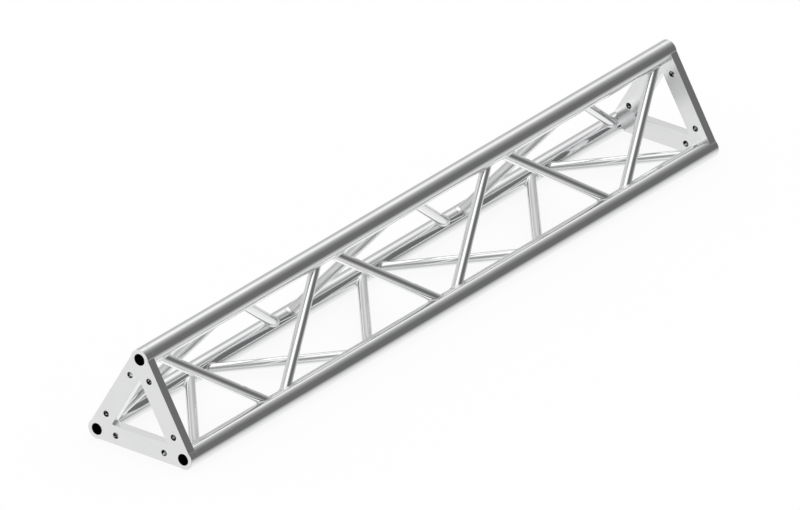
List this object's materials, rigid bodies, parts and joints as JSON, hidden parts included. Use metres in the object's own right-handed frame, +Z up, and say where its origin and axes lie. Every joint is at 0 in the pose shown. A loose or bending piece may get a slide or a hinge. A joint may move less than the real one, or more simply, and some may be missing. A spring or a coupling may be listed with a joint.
{
  "type": "lighting truss section",
  "caption": "Triangular aluminium stage truss section: three chord tubes joined by zigzag brace tubes, with a bolt-up triangular plate welded across each end.",
  "frame": {"origin": "on the ground plane under the two lower chords, midway along the section and midway across it", "axes": "+X along the chords from the front plate to the rear plate, +Y to the left seen from the front plate, +Z up through the top chord"},
  "size_m": [2, 0.3, 0.2665],
  "materials": {
    "chord_tube": "drawn tube, bright mill finish with fine lengthwise draw lines",
    "brace_tube": "drawn tube, bright mill finish with fine lengthwise draw lines",
    "end_plate": "machined plate, fine satin",
    "weld_bead": "bright rippled TIG bead",
    "dressed_weld": "weld dressed flush with the tube and brushed"
  },
  "bodies": {
    "root": {"top_chord": "chord_tube", "left_chord": "chord_tube", "right_chord": "chord_tube", "right_brace_1": "brace_tube", "right_brace_2": "brace_tube", "right_brace_3": "brace_tube", "right_brace_4": "brace_tube", "right_brace_5": "brace_tube", "right_brace_6": "brace_tube", "bottom_brace_1": "brace_tube", "bottom_brace_2": "brace_tube", "bottom_brace_3": "brace_tube", "bottom_brace_4": "brace_tube", "bottom_brace_5": "brace_tube", "bottom_brace_6": "brace_tube", "left_brace_1": "brace_tube", "left_brace_2": "brace_tube", "left_brace_3": "brace_tube", "left_brace_4": "brace_tube", "left_brace_5": "brace_tube", "left_brace_6": "brace_tube", "top_chord_brace_welds": "weld_bead", "left_chord_brace_welds": "weld_bead", "right_chord_brace_welds": "weld_bead", "front_end_plate": "end_plate", "rear_end_plate": "end_plate", "front_plate_welds": "dressed_weld", "rear_plate_welds": "dressed_weld"}
  },
  "joints": []
}
